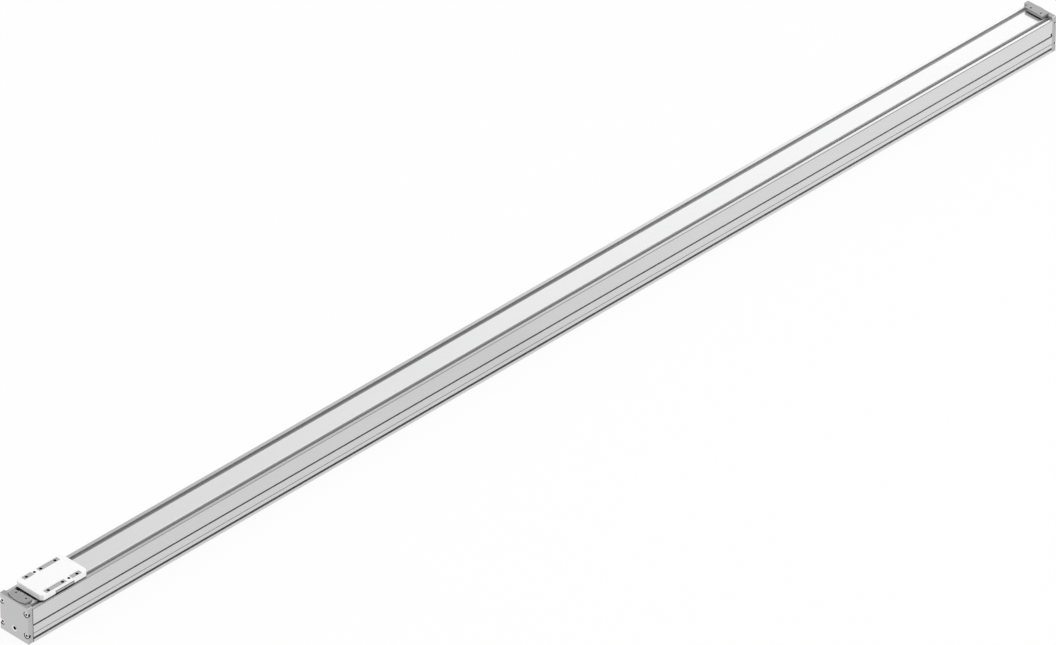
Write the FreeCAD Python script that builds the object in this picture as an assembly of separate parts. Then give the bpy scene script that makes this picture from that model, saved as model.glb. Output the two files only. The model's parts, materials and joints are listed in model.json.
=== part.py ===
"""Passive guide axis: an extruded profile, a guide rail inside it and a slide that runs on the rail.

Frame: X runs along the axis towards the far end, Y across it and Z up, in millimetres.
The origin is at the middle of the underside. The slide stands at the near end (-X) of its travel.
Distances called "inward" are measured from the outer face of an end cap towards the middle.
"""
import FreeCAD
import Part
import math
import os

V = FreeCAD.Vector

# Overall sizes
AXIS_LENGTH = 2142.0
PROFILE_WIDTH = 60.0
PROFILE_HEIGHT = 59.3
SLIDE_LENGTH = 92.0
SLIDE_START = 29.0
SLIDE_INSET = 2.0
SLIDE_RISE = 10.7
SLIDE_LIFT = 1.9
RUNNING_GAP = 0.4

# Profile section: reaches are from its sides, drops from its top
EDGE_CHAMFER = 0.6
LIP_REACH = 5.5
LIP_CHAMFER = 1.0
SHELF_DROP = 5.0
SHELF_REACH = 8.6
SHELF_THICKNESS = 9.4
SHELF_SLOPE = 3.0
WALL_REACH = 5.8
WALL_LOW_Z = 22.0
BOSS_REACH = 9.5
BOSS_TOP_Z = 18.0
FLOOR_Z = 10.0
FLOOR_CORNER = 2.0
SENSOR_SLOT = {"low": 28.8, "high": 31.8, "neck": 1.4, "depth": 4.0, "under": 0.8}
CLAMP_SLOT = {"low": 5.0, "high": 9.2, "neck": 2.2, "depth": 6.0, "under": 1.6}
SLOT_MOUTH = {"length": 3.0, "height": 4.0}
SCRIBE_LINE = {"z": 15.8, "width": 1.2, "depth": 0.9}

# End caps and gaskets
GASKET_THICKNESS = 0.6
GASKET_INSET = 0.5
CAP_THICKNESS = 8.9
CAP_INSET = 0.6
CAP_RISE = 3.9
CAP_SIDE_CHAMFER = 0.5
CAP_TOP_CHAMFER = 0.9
LEDGE_REACH = 19.2
LEDGE_GAP = 0.85
LEDGE_CLEARANCE = 4.0
PORT_Z = 14.2
PORT_DIAMETER = 6.2
PORT_FACE_DIAMETER = 9.4
PORT_FACE_DEPTH = 0.6

# Screws that hold the caps
CAP_SCREW_REACH = 5.0
CAP_SCREW_LOW_Z = 13.4
CAP_SCREW_DROP = 8.6
CAP_SCREW = {"shank": 5.0, "length": 24.0, "head": 8.0, "head_height": 3.4, "key": 4.0}
CAP_COUNTERBORE_DIAMETER = 10.0
CAP_COUNTERBORE_DEPTH = 4.2
THREAD_DEPTH = 26.0
HOLE_GAP = 0.1
KEY_DEPTH_SHARE = 0.6

# Cover strip and its clamps
STRIP_GAP = 0.5
STRIP_DROP = 0.8
STRIP_THICKNESS = 0.8
STRIP_FLANGE = 8.0
STRIP_BEND = 1.6
STRIP_END_INWARD = 6.0
CLAMP_OVERLAP = 0.4
CLAMP_APEX = 2.5
CLAMP_SHOULDER = 5.9
CLAMP_PROUD = 2.1
CLAMP_GAP = 0.6
STRIP_END_GAP = 0.35
CLAMP_RELIEF_INWARD = 12.0
CLAMP_RELIEF_HEIGHT = 1.7
CLAMP_SCREW_INWARD = 14.4
CLAMP_SCREW_REACH = 7.9
CLAMP_SCREW_DIAMETER = 3.0
CLAMP_SCREW_SUNK = 1.0
CLAMP_SCREW_FLOOR = 4.0
CLAMP_SCREW_KEY = 1.6

# Guide rail
RAIL_HALF = 7.5
RAIL_HEIGHT = 15.0
RAIL_WAIST = 6.2
RAIL_WAIST_Z = (5.5, 7.0, 10.0, 11.5)
RAIL_CHAMFER = 0.8
RAIL_END_GAP = 6.0
RAIL_SCREW_PITCH = 240.0
RAIL_SCREW_MARGIN = 20.0
RAIL_SCREW = {"shank": 4.0, "length": 14.0, "head": 7.0, "head_height": 4.0, "key": 3.0}
RAIL_SCREW_FLOOR = 2.0
RAIL_COUNTERBORE_DIAMETER = 8.0
RAIL_COUNTERBORE_DEPTH = 6.0

# Bearing block on the rail: heights are above the floor of the profile
BLOCK_LENGTH = 40.0
BLOCK_GAP = 0.3
BLOCK_UNDER = 4.0
BLOCK_TOP = 24.0
BLOCK_CHAMFER = 1.5
BLOCK_SHOULDER = 12.0
BLOCK_SHOULDER_INSET = 1.5
RETURN_LENGTH = 8.0
RETURN_INSET = 0.6
SEAL_LENGTH = 2.5
SEAL_INSET = 1.4
RETURN_SCREW_REACH = 5.0
RETURN_SCREW_DROP = 5.0
RETURN_SCREW = {"shank": 2.5, "length": 12.0, "head": 4.5, "head_height": 1.6, "key": 1.5}
BLOCK_SCREW_PITCH = 26.0
BLOCK_SCREW = {"shank": 4.0, "length": 9.0, "head": 7.0, "head_height": 4.0, "key": 3.0}
BLOCK_COUNTERBORE_DIAMETER = 7.6
BLOCK_COUNTERBORE_DEPTH = 4.4

# Saddle that joins the bearing block to the legs of the slide
SADDLE_INSET = 1.0
SADDLE_THICKNESS = 8.0
SADDLE_CHAMFER = 1.0
SADDLE_SCREW_X = (-30.0, 0.0, 30.0)
SADDLE_SCREW_DIAMETER = 3.0
SADDLE_SCREW_LENGTH = 10.0
SADDLE_SCREW_HEAD = 6.0
SADDLE_SCREW_CONE = 1.6
SADDLE_SCREW_KEY = 2.0

# Slide
SLIDE_CORNER = 4.1
SLIDE_EDGE = 0.6
LEG_GAP = 0.4
LEG_THICKNESS = 2.6
SLIDE_HOLE_PITCH = 28.3
SLIDE_ROW_REACH = 5.25
SLIDE_THREAD_DIAMETER = 5.0
SLIDE_THREAD_FLOOR = 1.3
PIN_OFFSET = 12.5
PIN_DIAMETER = 4.0
PIN_DEPTH = 2.5
PAD_WIDTH = 8.2
PAD_DEPTH = 0.3
PAD_MARGIN = {"outer": 6.9, "inner": 5.4, "single": 12.2}
NOTCH_LENGTH = 37.0
NOTCH_HEIGHT = 4.6
NOTCH_DEPTH = 1.0

# Wipers at the ends of the slide
WIPER_INSET = 0.6
WIPER_THICKNESS = 3.4
WIPER_SIDE_GAP = 0.5
WIPER_STRIP_GAP = 0.45
WIPER_SHELF_GAP = 0.6

# Rubber buffers on the inner faces of the caps
BUFFER_Y = 9.0
BUFFER_DIAMETER = 7.6
BUFFER_NOSE = 1.5
BUFFER_GAP = 0.5

# Places along the axis that follow from the sizes above
HALF_LENGTH = AXIS_LENGTH / 2
PROFILE_LENGTH = AXIS_LENGTH - 2 * (CAP_THICKNESS + GASKET_THICKNESS)
RAIL_LENGTH = PROFILE_LENGTH - 2 * RAIL_END_GAP
RAIL_SCREW_COUNT = int((RAIL_LENGTH - 2 * RAIL_SCREW_MARGIN) / RAIL_SCREW_PITCH) + 1
SLIDE_X = SLIDE_START + SLIDE_LENGTH / 2 - HALF_LENGTH
SADDLE_LENGTH = SLIDE_LENGTH - 2 * SADDLE_INSET
LEG_LENGTH = SLIDE_LENGTH - 2 * (WIPER_INSET + WIPER_THICKNESS)
NEAR, FAR = -1, 1

# Places across the axis that follow from the sizes above
HALF_WIDTH = PROFILE_WIDTH / 2
LIP_INNER = HALF_WIDTH - LIP_REACH
SHELF_INNER = HALF_WIDTH - SHELF_REACH
WALL_INNER = HALF_WIDTH - WALL_REACH
BOSS_INNER = HALF_WIDTH - BOSS_REACH
FLOOR_HALF = BOSS_INNER - FLOOR_CORNER
CAP_HALF = HALF_WIDTH - CAP_INSET
CAP_SCREW_Y = HALF_WIDTH - CAP_SCREW_REACH
SLIDE_HALF = HALF_WIDTH - SLIDE_INSET
SLIDE_ROW_Y = SLIDE_HALF - SLIDE_ROW_REACH
LEG_OUTER = SHELF_INNER - LEG_GAP
LEG_INNER = LEG_OUTER - LEG_THICKNESS
STRIP_HALF = LEG_INNER - STRIP_GAP
LEDGE_HALF = STRIP_HALF - STRIP_THICKNESS - LEDGE_GAP
CLAMP_HALF = STRIP_HALF + CLAMP_OVERLAP
CLAMP_SCREW_Y = CLAMP_HALF - CLAMP_SCREW_REACH
WIPER_HALF = LIP_INNER - WIPER_SIDE_GAP
WIPER_PRONG_INNER = STRIP_HALF + WIPER_STRIP_GAP
BLOCK_HALF = LEG_INNER - BLOCK_GAP
RETURN_SCREW_Y = BLOCK_HALF - RETURN_SCREW_REACH

# Heights that follow from the sizes above
SHELF_Z = PROFILE_HEIGHT - SHELF_DROP
SHELF_UNDER_Z = SHELF_Z - SHELF_THICKNESS
WALL_TOP_Z = SHELF_UNDER_Z - SHELF_SLOPE
CAP_TOP = PROFILE_HEIGHT + CAP_RISE
CLAMP_TOP = CAP_TOP + CLAMP_PROUD
CAP_SCREW_Z = (CAP_SCREW_LOW_Z, PROFILE_HEIGHT - CAP_SCREW_DROP)
STRIP_TOP = PROFILE_HEIGHT - STRIP_DROP
STRIP_UNDER_Z = STRIP_TOP - STRIP_THICKNESS
STRIP_FOOT_Z = STRIP_TOP - STRIP_FLANGE
BLOCK_UNDER_Z = FLOOR_Z + BLOCK_UNDER
BLOCK_SHOULDER_Z = FLOOR_Z + BLOCK_SHOULDER
BLOCK_TOP_Z = FLOOR_Z + BLOCK_TOP
RETURN_SCREW_Z = BLOCK_TOP_Z - RETURN_SCREW_DROP
SADDLE_TOP_Z = BLOCK_TOP_Z + SADDLE_THICKNESS
LEDGE_UNDER_Z = SADDLE_TOP_Z + LEDGE_CLEARANCE
CLAMP_SCREW_FOOT_Z = LEDGE_UNDER_Z + CLAMP_SCREW_FLOOR
BUFFER_Z = BLOCK_TOP_Z + SADDLE_THICKNESS / 2
SLIDE_UNDER_Z = PROFILE_HEIGHT + SLIDE_LIFT
SLIDE_TOP = PROFILE_HEIGHT + SLIDE_RISE
SLIDE_THREAD_DEPTH = SLIDE_TOP - SLIDE_UNDER_Z - SLIDE_THREAD_FLOOR
WIPER_UNDER_Z = STRIP_TOP + RUNNING_GAP
WIPER_PRONG_Z = SHELF_Z + WIPER_SHELF_GAP


# General shapes
def box(x0, x1, y0, y1, z0, z1):
    """Box between two corners."""
    return Part.makeBox(x1 - x0, y1 - y0, z1 - z0, V(x0, y0, z0))


def bar(points, x0, x1):
    """Prism along X from a closed outline of (y, z) points."""
    wire = Part.makePolygon([V(x0, y, z) for y, z in points + points[:1]])
    return Part.Face(wire).extrude(V(x1 - x0, 0, 0))


def mirrored(points):
    """Closed outline from the points of its +Y half, lowest point first."""
    return points + [(-y, z) for y, z in reversed(points)]


def rod(diameter, start, axis, length):
    """Cylinder from a start point along an axis."""
    return Part.makeCylinder(diameter / 2, length, V(*start), V(*axis))


def hexagon(across_flats, start, axis, length):
    """Hexagonal prism from a start point along an axis."""
    radius = across_flats / math.sqrt(3)
    angles = [math.pi / 3 * i for i in range(7)]
    corners = [V(radius * math.cos(angle), radius * math.sin(angle), 0) for angle in angles]
    prism = Part.Face(Part.makePolygon(corners)).extrude(V(0, 0, length))
    prism.Placement = FreeCAD.Placement(V(*start), FreeCAD.Rotation(V(0, 0, 1), V(*axis)))
    return prism


def cut_all(shape, tools):
    """Shape with every tool cut out of it."""
    return shape.cut(list(tools)) if tools else shape


def fuse_all(shapes):
    """One clean solid from touching or overlapping shapes."""
    return shapes[0].fuse(shapes[1:]).removeSplitter()


def turned_round(shape):
    """Copy of a near-end piece turned half a turn about Z, for the far end."""
    copy = shape.copy()
    copy.rotate(V(0, 0, 0), V(0, 0, 1), 180)
    return copy


def cap_screw(size, seat, axis):
    """Socket head screw whose head rests at the seat, with its shank along the axis."""
    ax, ay, az = axis
    height = size["head_height"]
    top = (seat[0] - ax * height, seat[1] - ay * height, seat[2] - az * height)
    head = rod(size["head"], top, axis, height)
    shank = rod(size["shank"], seat, axis, size["length"])
    return fuse_all([head, shank]).cut(hexagon(size["key"], top, axis, height * KEY_DEPTH_SHARE))


# Profile, rail and strip
def cavity_outline():
    """Outline of the channel inside the profile, open to the top."""
    return mirrored([
        (FLOOR_HALF, FLOOR_Z), (BOSS_INNER, FLOOR_Z + BOSS_INNER - FLOOR_HALF), (BOSS_INNER, BOSS_TOP_Z),
        (WALL_INNER, WALL_LOW_Z), (WALL_INNER, WALL_TOP_Z), (SHELF_INNER, SHELF_UNDER_Z),
        (SHELF_INNER, SHELF_Z), (LIP_INNER, SHELF_Z), (LIP_INNER, PROFILE_HEIGHT - LIP_CHAMFER),
        (LIP_INNER + LIP_CHAMFER, PROFILE_HEIGHT), (LIP_INNER + LIP_CHAMFER, CAP_TOP)])


def side_slot(slot, side):
    """Outline of an undercut slot in one side face."""
    outer = HALF_WIDTH + 1
    neck = HALF_WIDTH - slot["neck"]
    depth = HALF_WIDTH - slot["depth"]
    low, high, under = slot["low"], slot["high"], slot["under"]
    points = [(outer, low), (neck, low), (neck, low - under), (depth, low - under), (depth, high),
              (outer, high)]
    return [(side * y, z) for y, z in points]


def scribe_outline(side):
    """Outline of the fine V-groove in one side face."""
    middle, half = SCRIBE_LINE["z"], SCRIBE_LINE["width"] / 2
    bottom = HALF_WIDTH - SCRIBE_LINE["depth"]
    points = [(HALF_WIDTH, middle - half), (bottom, middle), (HALF_WIDTH, middle + half)]
    return [(side * y, z) for y, z in points]


def slot_mouth():
    """Opening above the sensor slot at the far end of the -Y side, where sensors are put in."""
    end = PROFILE_LENGTH / 2
    depth = SENSOR_SLOT["depth"] - HALF_WIDTH
    top = SENSOR_SLOT["high"] + SLOT_MOUTH["height"]
    return box(end - SLOT_MOUTH["length"], end + 1, -HALF_WIDTH - 1, depth, SENSOR_SLOT["low"], top)


def cap_screw_places():
    """(y, z) of the four screws of a cap."""
    return [(side * CAP_SCREW_Y, z) for side in (-1, 1) for z in CAP_SCREW_Z]


def rail_screw_places():
    """X of every rail screw."""
    first = -RAIL_SCREW_PITCH * (RAIL_SCREW_COUNT - 1) / 2
    return [first + RAIL_SCREW_PITCH * i for i in range(RAIL_SCREW_COUNT)]


def profile():
    """Extruded body with its channel, side slots and tapped holes."""
    half = PROFILE_LENGTH / 2
    chamfered = PROFILE_HEIGHT - EDGE_CHAMFER
    body = bar(mirrored([(HALF_WIDTH, 0), (HALF_WIDTH, chamfered),
                         (HALF_WIDTH - EDGE_CHAMFER, PROFILE_HEIGHT)]), -half, half)
    outlines = [cavity_outline()]
    for side in (-1, 1):
        outlines += [side_slot(slot, side) for slot in (SENSOR_SLOT, CLAMP_SLOT)]
        outlines.append(scribe_outline(side))
    tools = [bar(outline, -half - 1, half + 1) for outline in outlines]
    tools += [slot_mouth(), turned_round(slot_mouth())]
    for y, z in cap_screw_places():
        bore = CAP_SCREW["shank"] + HOLE_GAP
        tools += [rod(bore, (end * half, y, z), (-end, 0, 0), THREAD_DEPTH) for end in (NEAR, FAR)]
    bore = RAIL_SCREW["shank"] + HOLE_GAP
    depth = FLOOR_Z - RAIL_SCREW_FLOOR
    tools += [rod(bore, (x, 0, FLOOR_Z), (0, 0, -1), depth) for x in rail_screw_places()]
    return cut_all(body, tools)


def rail_outline(gap=0.0):
    """Half outline of the rail above the floor, grown by a gap."""
    low, waist_low, waist_high, high = RAIL_WAIST_Z
    outer, waist = RAIL_HALF + gap, RAIL_WAIST + gap
    points = [(outer, 0), (outer, low), (waist, waist_low), (waist, waist_high), (outer, high)]
    return [(y, FLOOR_Z + z) for y, z in points]


def guide_rail():
    """Waisted rail with counterbored screw holes."""
    half = RAIL_LENGTH / 2
    top = FLOOR_Z + RAIL_HEIGHT
    outline = rail_outline() + [(RAIL_HALF, top - RAIL_CHAMFER), (RAIL_HALF - RAIL_CHAMFER, top)]
    tools = []
    for x in rail_screw_places():
        tools.append(rod(RAIL_COUNTERBORE_DIAMETER, (x, 0, top), (0, 0, -1), RAIL_COUNTERBORE_DEPTH))
        tools.append(rod(RAIL_SCREW["shank"] + HOLE_GAP, (x, 0, top), (0, 0, -1), RAIL_HEIGHT))
    return cut_all(bar(mirrored(outline), -half, half), tools)


def rail_screws():
    """Row of screws that hold the rail to the floor of the profile."""
    seat_z = FLOOR_Z + RAIL_HEIGHT - RAIL_COUNTERBORE_DEPTH
    return Part.Compound([cap_screw(RAIL_SCREW, (x, 0, seat_z), (0, 0, -1)) for x in rail_screw_places()])


def clamp_screw_places():
    """(x, y) of the two clamp screws at the near end."""
    return [(CLAMP_SCREW_INWARD - HALF_LENGTH, side * CLAMP_SCREW_Y) for side in (-1, 1)]


def cover_strip():
    """Thin folded strip with rounded edges that closes the middle of the channel."""
    end = HALF_LENGTH - STRIP_END_INWARD
    foot = STRIP_FOOT_Z
    outer = box(-end, end, -STRIP_HALF, STRIP_HALF, foot, STRIP_TOP)
    edges = [e for e in outer.Edges if e.Length > end and e.CenterOfMass.z > foot + 1]
    outer = outer.makeFillet(STRIP_BEND, edges)
    inner_half = STRIP_HALF - STRIP_THICKNESS
    inner = box(-end - 1, end + 1, -inner_half, inner_half, foot - 1, STRIP_UNDER_Z)
    edges = [e for e in inner.Edges if e.Length > end and e.CenterOfMass.z > foot + 1]
    inner = inner.makeFillet(STRIP_BEND - STRIP_THICKNESS, edges)
    bore = CLAMP_SCREW_DIAMETER + 2 * HOLE_GAP
    near = [rod(bore, (x, y, foot), (0, 0, 1), STRIP_FLANGE + 1) for x, y in clamp_screw_places()]
    return cut_all(outer, [inner] + near + [turned_round(hole) for hole in near])


# End caps and what they hold
def clamp_plan(grow, inner_end):
    """Plan outline of the strip clamp as a face: an arc at the outer end, straight sides."""
    half = CLAMP_HALF + grow
    shoulder = CLAMP_SHOULDER - grow - HALF_LENGTH
    apex = CLAMP_APEX - grow - HALF_LENGTH
    inner = inner_end - HALF_LENGTH
    front = Part.Arc(V(shoulder, -half, 0), V(apex, 0, 0), V(shoulder, half, 0)).toShape()
    corners = [(shoulder, half), (inner, half), (inner, -half), (shoulder, -half)]
    sides = Part.makePolygon([V(x, y, 0) for x, y in corners])
    return Part.Face(Part.Wire([front] + sides.Edges))


def prism_z(face, z0, z1):
    """Flat face at Z = 0 raised to a prism between two heights."""
    face.translate(V(0, 0, z0))
    return face.extrude(V(0, 0, z1 - z0))


def near_cap():
    """End cap with counterbores, a port, a seat for the clamp and a ledge under the strip."""
    outer, inner = -HALF_LENGTH, CAP_THICKNESS - HALF_LENGTH
    flange = box(outer, inner, -CAP_HALF, CAP_HALF, 0, CAP_TOP)
    upright = [e for e in flange.Edges if abs(e.Length - CAP_TOP) < 0.01 and e.CenterOfMass.x < outer + 1]
    flange = flange.makeChamfer(CAP_SIDE_CHAMFER, upright)
    front = [e for e in flange.Edges if e.CenterOfMass.x < outer + 0.1 and e.CenterOfMass.z > CAP_TOP - 0.1]
    flange = flange.makeChamfer(CAP_TOP_CHAMFER, front)
    ledge = box(inner - 1, LEDGE_REACH - HALF_LENGTH, -LEDGE_HALF, LEDGE_HALF, LEDGE_UNDER_Z, STRIP_UNDER_Z)
    seat = prism_z(clamp_plan(CLAMP_GAP, CAP_THICKNESS + 1), STRIP_TOP, CAP_TOP + 1)
    strip_x = STRIP_END_INWARD - STRIP_END_GAP - HALF_LENGTH
    strip_half = STRIP_HALF + STRIP_END_GAP
    strip_pocket = box(strip_x, inner + 1, -strip_half, strip_half, STRIP_FOOT_Z - STRIP_END_GAP, CAP_TOP)
    strip_core = box(strip_x, inner + 1, -LEDGE_HALF, LEDGE_HALF, 0, STRIP_UNDER_Z)
    tools = [seat, strip_pocket.cut(strip_core)]
    for y, z in cap_screw_places():
        tools.append(rod(CAP_COUNTERBORE_DIAMETER, (outer, y, z), (1, 0, 0), CAP_COUNTERBORE_DEPTH))
        tools.append(rod(CAP_SCREW["shank"] + 2 * HOLE_GAP, (outer, y, z), (1, 0, 0), CAP_THICKNESS))
    tools.append(rod(PORT_DIAMETER, (outer, 0, PORT_Z), (1, 0, 0), CAP_THICKNESS))
    tools.append(Part.makeCone(PORT_FACE_DIAMETER / 2, PORT_DIAMETER / 2, PORT_FACE_DEPTH,
                               V(outer, 0, PORT_Z), V(1, 0, 0)))
    bore = CLAMP_SCREW_DIAMETER + HOLE_GAP
    tools += [rod(bore, (x, y, STRIP_UNDER_Z), (0, 0, -1), STRIP_UNDER_Z - CLAMP_SCREW_FOOT_Z)
              for x, y in clamp_screw_places()]
    return cut_all(fuse_all([flange, ledge]), tools)


def near_gasket():
    """Thin gasket between a cap and the end of the profile."""
    inner = CAP_THICKNESS + GASKET_THICKNESS - HALF_LENGTH
    outer = CAP_THICKNESS - HALF_LENGTH
    half = HALF_WIDTH - GASKET_INSET
    sheet = box(outer, inner, -half, half, GASKET_INSET, PROFILE_HEIGHT - GASKET_INSET)
    tools = [bar(cavity_outline(), outer - 1, inner + 1)]
    bore = CAP_SCREW["shank"] + 4 * HOLE_GAP
    tools += [rod(bore, (outer, y, z), (1, 0, 0), GASKET_THICKNESS) for y, z in cap_screw_places()]
    return cut_all(sheet, tools)


def near_cap_screws():
    """Four screws through a cap into the profile."""
    seat_x = CAP_COUNTERBORE_DEPTH - HALF_LENGTH
    return Part.Compound([cap_screw(CAP_SCREW, (seat_x, y, z), (1, 0, 0)) for y, z in cap_screw_places()])


def near_strip_clamp():
    """Plate with a curved outer edge that presses the end of the strip on the ledge."""
    plate = prism_z(clamp_plan(0, LEDGE_REACH), STRIP_TOP, CLAMP_TOP)
    relief = box(CLAMP_RELIEF_INWARD - HALF_LENGTH, LEDGE_REACH + 1 - HALF_LENGTH,
                 -CLAMP_HALF - 1, CLAMP_HALF + 1, STRIP_TOP, STRIP_TOP + CLAMP_RELIEF_HEIGHT)
    bore = CLAMP_SCREW_DIAMETER + HOLE_GAP
    holes = [rod(bore, (x, y, STRIP_TOP), (0, 0, 1), CLAMP_TOP) for x, y in clamp_screw_places()]
    return cut_all(plate, [relief] + holes)


def near_clamp_screws():
    """Two headless screws of a strip clamp, sunk below its top."""
    top = CLAMP_TOP - CLAMP_SCREW_SUNK
    screws = []
    for x, y in clamp_screw_places():
        pin = rod(CLAMP_SCREW_DIAMETER, (x, y, CLAMP_SCREW_FOOT_Z), (0, 0, 1), top - CLAMP_SCREW_FOOT_Z)
        screws.append(pin.cut(hexagon(CLAMP_SCREW_KEY, (x, y, top), (0, 0, -1), CLAMP_SCREW_DIAMETER)))
    return Part.Compound(screws)


def near_buffers():
    """Two rubber buffers that stop the saddle."""
    start = CAP_THICKNESS - HALF_LENGTH
    tip = SLIDE_X - SADDLE_LENGTH / 2 - BUFFER_GAP
    buffers = []
    for side in (-1, 1):
        pin = rod(BUFFER_DIAMETER, (start, side * BUFFER_Y, BUFFER_Z), (1, 0, 0), tip - start)
        nose = [e for e in pin.Edges if e.CenterOfMass.x > tip - 0.1]
        buffers.append(pin.makeChamfer(BUFFER_NOSE, nose))
    return Part.Compound(buffers)


# Bearing block
def block_section(inset):
    """Outline of the bearing block round the rail, with its outside drawn in by an inset."""
    half, top = BLOCK_HALF - inset, BLOCK_TOP_Z - inset
    under = BLOCK_UNDER_Z + inset
    outside = [(half - BLOCK_SHOULDER_INSET, under), (half - BLOCK_SHOULDER_INSET, BLOCK_SHOULDER_Z),
               (half, BLOCK_SHOULDER_Z + BLOCK_SHOULDER_INSET), (half, top - BLOCK_CHAMFER),
               (half - BLOCK_CHAMFER, top)]
    roof = FLOOR_Z + RAIL_HEIGHT + RUNNING_GAP
    channel = rail_outline(RUNNING_GAP)[1:] + [(RAIL_HALF + RUNNING_GAP, roof)]
    inside = [(RAIL_HALF + RUNNING_GAP, under)] + channel
    return outside + [(-y, z) for y, z in reversed(outside)] + [(-y, z) for y, z in inside] + inside[::-1]


def return_screw_places():
    """(y, z) of the two screws of a return plate."""
    return [(side * RETURN_SCREW_Y, RETURN_SCREW_Z) for side in (-1, 1)]


def bearing_block():
    """Hardened body of the bearing block, tapped for the saddle screws."""
    body = bar(block_section(0), SLIDE_X - BLOCK_LENGTH / 2, SLIDE_X + BLOCK_LENGTH / 2)
    bore = BLOCK_SCREW["shank"] + HOLE_GAP
    depth = BLOCK_SCREW["length"]
    tools = [rod(bore, (x, y, BLOCK_TOP_Z), (0, 0, -1), depth) for x, y in block_screw_places()]
    bore = RETURN_SCREW["shank"] + HOLE_GAP
    depth = RETURN_SCREW["length"] - RETURN_LENGTH + HOLE_GAP
    for end in (NEAR, FAR):
        face = SLIDE_X + end * BLOCK_LENGTH / 2
        tools += [rod(bore, (face, y, z), (-end, 0, 0), depth) for y, z in return_screw_places()]
    return cut_all(body, tools)


def block_screw_places():
    """(x, y) of the four screws between saddle and bearing block."""
    half = BLOCK_SCREW_PITCH / 2
    return [(SLIDE_X + sx * half, sy * half) for sx in (-1, 1) for sy in (-1, 1)]


def end_slab(end, start, length, inset):
    """Slab with the block's section, beyond one end of the block."""
    x0, x1 = sorted((SLIDE_X + end * start, SLIDE_X + end * (start + length)))
    return bar(block_section(inset), x0, x1)


def return_plate(end):
    """Moulded plate that turns the balls round at one end of the block."""
    start = BLOCK_LENGTH / 2
    slab = end_slab(end, start, RETURN_LENGTH, RETURN_INSET)
    bore = RETURN_SCREW["shank"] + 2 * HOLE_GAP
    face = SLIDE_X + end * start
    holes = [rod(bore, (face, y, z), (end, 0, 0), RETURN_LENGTH) for y, z in return_screw_places()]
    return cut_all(slab, holes)


def end_seal(end):
    """Rubber seal on the outside of a return plate, with room for the screw heads."""
    start = BLOCK_LENGTH / 2 + RETURN_LENGTH
    slab = end_slab(end, start, SEAL_LENGTH, SEAL_INSET)
    bore = RETURN_SCREW["head"] + 4 * HOLE_GAP
    face = SLIDE_X + end * start
    holes = [rod(bore, (face, y, z), (end, 0, 0), SEAL_LENGTH) for y, z in return_screw_places()]
    return cut_all(slab, holes)


def return_screws():
    """Four small screws that hold the return plates to the block."""
    seat = BLOCK_LENGTH / 2 + RETURN_LENGTH
    return Part.Compound([cap_screw(RETURN_SCREW, (SLIDE_X + end * seat, y, z), (-end, 0, 0))
                          for end in (NEAR, FAR) for y, z in return_screw_places()])


def block_screws():
    """Four screws that hold the saddle on the bearing block."""
    seat_z = SADDLE_TOP_Z - BLOCK_COUNTERBORE_DEPTH
    seats = [(x, y, seat_z) for x, y in block_screw_places()]
    return Part.Compound([cap_screw(BLOCK_SCREW, seat, (0, 0, -1)) for seat in seats])


# Saddle and slide
def side_screw_tools(side, gap):
    """Countersunk screw shapes for the holes of one leg, grown by a gap."""
    tools = []
    for offset in SADDLE_SCREW_X:
        start = (SLIDE_X + offset, side * LEG_OUTER, BUFFER_Z)
        axis = (0, -side, 0)
        cone = Part.makeCone(SADDLE_SCREW_HEAD / 2, SADDLE_SCREW_DIAMETER / 2, SADDLE_SCREW_CONE,
                             V(*start), V(*axis))
        shank = rod(SADDLE_SCREW_DIAMETER + 2 * gap, start, axis, SADDLE_SCREW_LENGTH + gap)
        tools.append(fuse_all([cone, shank]))
    return tools


def saddle():
    """Plate between the legs of the slide, bolted on the bearing block."""
    half = SADDLE_LENGTH / 2
    plate = box(SLIDE_X - half, SLIDE_X + half, -LEG_INNER, LEG_INNER, BLOCK_TOP_Z, SADDLE_TOP_Z)
    ends = [e for e in plate.Edges if abs(abs(e.CenterOfMass.x - SLIDE_X) - half) < 0.1
            and e.CenterOfMass.z > SADDLE_TOP_Z - 0.1]
    plate = plate.makeChamfer(SADDLE_CHAMFER, ends)
    tools = []
    bore = BLOCK_SCREW["shank"] + 2 * HOLE_GAP
    for x, y in block_screw_places():
        top = (x, y, SADDLE_TOP_Z)
        tools.append(rod(BLOCK_COUNTERBORE_DIAMETER, top, (0, 0, -1), BLOCK_COUNTERBORE_DEPTH))
        tools.append(rod(bore, top, (0, 0, -1), SADDLE_THICKNESS))
    for side in (-1, 1):
        tools += side_screw_tools(side, HOLE_GAP / 2)
    return cut_all(plate, tools)


def saddle_screws(side):
    """Countersunk screws through one leg into the saddle."""
    screws = []
    for offset, screw in zip(SADDLE_SCREW_X, side_screw_tools(side, 0)):
        start = (SLIDE_X + offset, side * LEG_OUTER, BUFFER_Z)
        screws.append(screw.cut(hexagon(SADDLE_SCREW_KEY, start, (0, -side, 0), SADDLE_SCREW_CONE)))
    return Part.Compound(screws)


def pad_spans():
    """(x0, x1, row) of the machined pads, symmetric about the middle of the slide by half a turn."""
    outer, inner, single = (PAD_MARGIN[name] for name in ("outer", "inner", "single"))
    spans = []
    for row in (1, -1):
        lone = sorted((row * (-SLIDE_HOLE_PITCH - outer), row * (-SLIDE_HOLE_PITCH + single)))
        pair = sorted((row * -inner, row * (SLIDE_HOLE_PITCH + outer)))
        spans += [(lone[0], lone[1], row), (pair[0], pair[1], row)]
    return spans


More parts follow.
